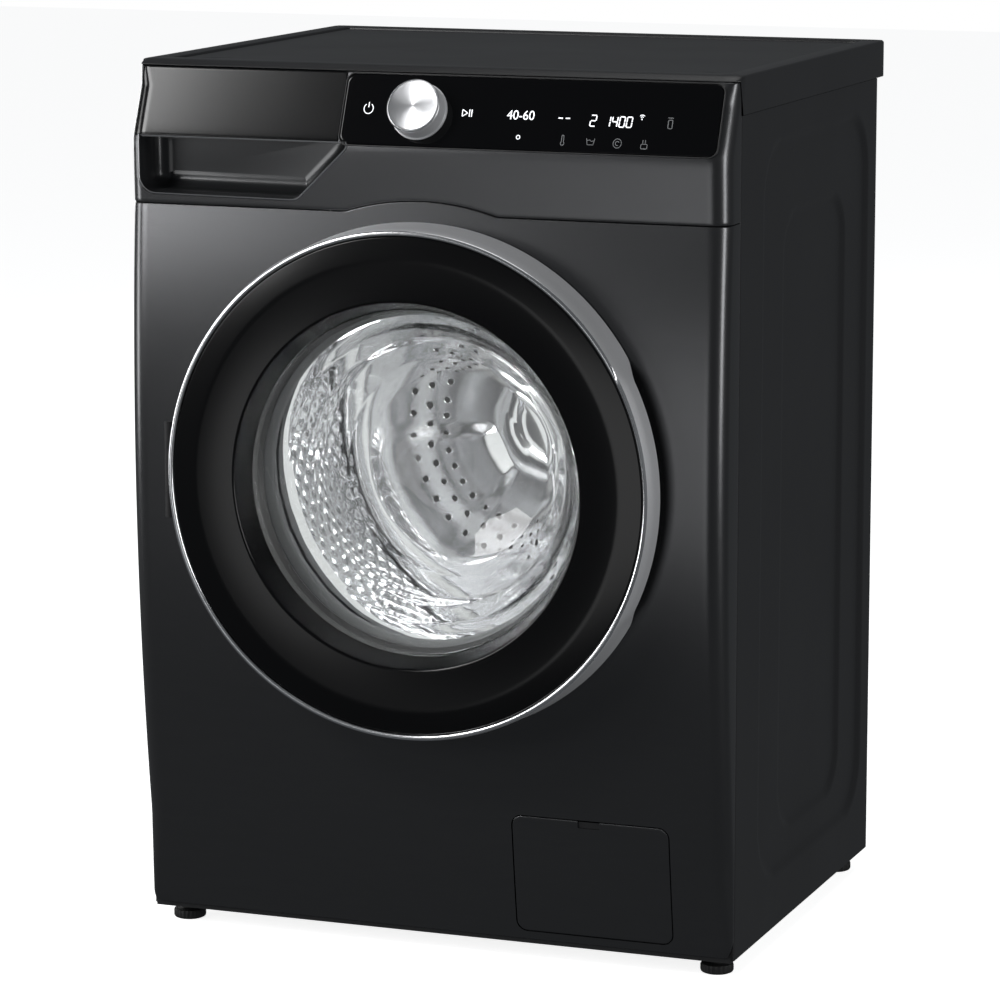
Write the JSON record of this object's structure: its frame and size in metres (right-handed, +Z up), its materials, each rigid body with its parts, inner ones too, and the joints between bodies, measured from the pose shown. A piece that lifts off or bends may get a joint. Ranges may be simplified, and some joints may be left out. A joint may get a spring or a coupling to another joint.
{
  "type": "front load washing machine",
  "caption": "Front-loading washing machine: wrapped front, round glass door, drum in a sprung tub, dial and detergent drawer.",
  "frame": {"origin": "under the middle of the overall box, on the floor", "axes": "+X to the right as seen from the front, +Y to the rear, +Z up; the door faces -Y"},
  "size_m": [0.6, 0.563, 0.85],
  "materials": {
    "graphite_paint": "dark graphite, horizontally brushed metallic paint",
    "graphite_plastic": "dark graphite, painted to match the sheet metal",
    "satin_black_paint": "satin near-black paint",
    "worktop_black": "satin black laminate",
    "gloss_black": "deep gloss black",
    "satin_trim": "satin silver with a bright front bead",
    "spun_aluminium": "spun, radially brushed",
    "clear_glass": "clear pressed glass",
    "stainless": "bright stainless steel",
    "galvanised": "galvanised sheet",
    "cast_aluminium": "raw die casting",
    "cast_iron": "machined steel and iron",
    "grey_plastic": "moulded grey plastic",
    "white_plastic": "moulded off-white plastic",
    "black_plastic": "moulded black plastic",
    "grey_rubber": "grey rubber",
    "black_rubber": "black rubber",
    "concrete": "cast concrete",
    "circuit_board": "green circuit board"
  },
  "bodies": {
    "cabinet": {"front_panel": "graphite_paint", "side_panel_left": "satin_black_paint", "side_panel_right": "satin_black_paint", "top_cover": "worktop_black", "back_panel": "galvanised", "rear_access_cover": "galvanised", "base_frame": "satin_black_paint", "top_brace": "galvanised", "control_panel": "graphite_plastic", "display_glass": "gloss_black", "control_board": "circuit_board", "dispenser_housing": "grey_plastic", "water_inlet_valve": "white_plastic", "inlet_hose": "grey_rubber", "dispenser_hose": "black_rubber", "drain_pump": "black_plastic", "sump_hose": "black_rubber", "drain_hose": "grey_rubber", "mains_gland": "black_plastic", "door_lock": "white_plastic", "hinge_bracket": "cast_aluminium", "door_seal": "grey_rubber", "spring_left": "galvanised", "spring_right": "galvanised", "damper_tube_left": "black_plastic", "damper_tube_right": "black_plastic"},
    "door": {"door_trim_ring": "satin_trim", "door_window_ring": "gloss_black", "door_glass": "clear_glass", "door_inner_frame": "black_plastic", "hinge_arm": "cast_aluminium"},
    "latch": {"latch_hook": "white_plastic"},
    "dial": {"program_dial": "spun_aluminium"},
    "drawer": {"drawer_front": "gloss_black", "drawer_tray": "grey_plastic"},
    "flap": {"filter_flap": "graphite_plastic"},
    "filter": {"filter_cap": "grey_plastic"},
    "tub": {"tub_front": "grey_plastic", "tub_rear": "grey_plastic", "counterweight_front": "concrete", "counterweight_top": "concrete", "heater": "stainless", "bearing_front": "cast_iron", "bearing_rear": "cast_iron", "drive_motor": "cast_aluminium", "drive_belt": "black_rubber", "damper_rod_left": "galvanised", "damper_rod_right": "galvanised"},
    "drum": {"drum": "stainless", "lifter_1": "stainless", "lifter_2": "stainless", "lifter_3": "stainless", "drum_spider": "cast_aluminium", "drum_shaft": "stainless", "drum_pulley": "cast_aluminium"},
    "motor_rotor": {"motor_pulley": "cast_iron"},
    "foot_fl": {"foot_front_left": "black_rubber"},
    "foot_fr": {"foot_front_right": "black_rubber"},
    "foot_rl": {"foot_rear_left": "black_rubber"},
    "foot_rr": {"foot_rear_right": "black_rubber"}
  },
  "joints": [
    {"name": "door_hinge", "type": "hinge", "parent": "cabinet", "child": "door", "pos_m": [-0.246, -0.2625, 0.466], "axis": [0, 0, -1], "range_deg": [0, 150]},
    {"name": "latch_pivot", "type": "hinge", "parent": "door", "child": "latch", "pos_m": [0.213, -0.2415, 0.466], "axis": [0, 0, 1], "range_deg": [-6, 0], "stiffness_Nm_per_rad": 0.05, "springref_deg": 1.15},
    {"name": "dial_turn", "type": "hinge", "parent": "cabinet", "child": "dial", "pos_m": [-0.005, -0.22242, 0.81], "axis": [0, -0.9205, 0.3907], "continuous": true},
    {"name": "drawer_slide", "type": "slide", "parent": "cabinet", "child": "drawer", "axis": [0, -1, 0], "range_m": [0, 0.2]},
    {"name": "flap_hinge", "type": "hinge", "parent": "cabinet", "child": "flap", "pos_m": [0.163, -0.2037, 0.0325], "axis": [1, 0, 0], "range_deg": [0, 90]},
    {"name": "filter_turn", "type": "hinge", "parent": "cabinet", "child": "filter", "pos_m": [0.163, -0.1915, 0.088], "axis": [0, -1, 0], "range_deg": [-90, 0]},
    {"name": "tub_bounce", "type": "slide", "parent": "cabinet", "child": "tub", "axis": [0, 0, 1], "range_m": [-0.01, 0.01], "stiffness_N_per_m": 20000, "springref_m": 0.0183, "deforming": ["door_seal", "spring_left", "spring_right", "sump_hose", "dispenser_hose"]},
    {"name": "drum_spin", "type": "hinge", "parent": "tub", "child": "drum", "pos_m": [0, 0, 0.466], "axis": [0, 1, 0], "continuous": true},
    {"name": "motor_spin", "type": "hinge", "parent": "tub", "child": "motor_rotor", "pos_m": [0.095, 0, 0.16462], "axis": [0, 1, 0], "continuous": true},
    {"name": "foot_level_fl", "type": "slide", "parent": "cabinet", "child": "foot_fl", "axis": [0, 0, -1], "range_m": [0, 0.015]},
    {"name": "foot_level_fr", "type": "slide", "parent": "cabinet", "child": "foot_fr", "axis": [0, 0, -1], "range_m": [0, 0.015]},
    {"name": "foot_level_rl", "type": "slide", "parent": "cabinet", "child": "foot_rl", "axis": [0, 0, -1], "range_m": [0, 0.015]},
    {"name": "foot_level_rr", "type": "slide", "parent": "cabinet", "child": "foot_rr", "axis": [0, 0, -1], "range_m": [0, 0.015]}
  ],
  "couplings": [
    {"joint": "motor_spin", "follows": "drum_spin", "ratio": 7.5}
  ]
}
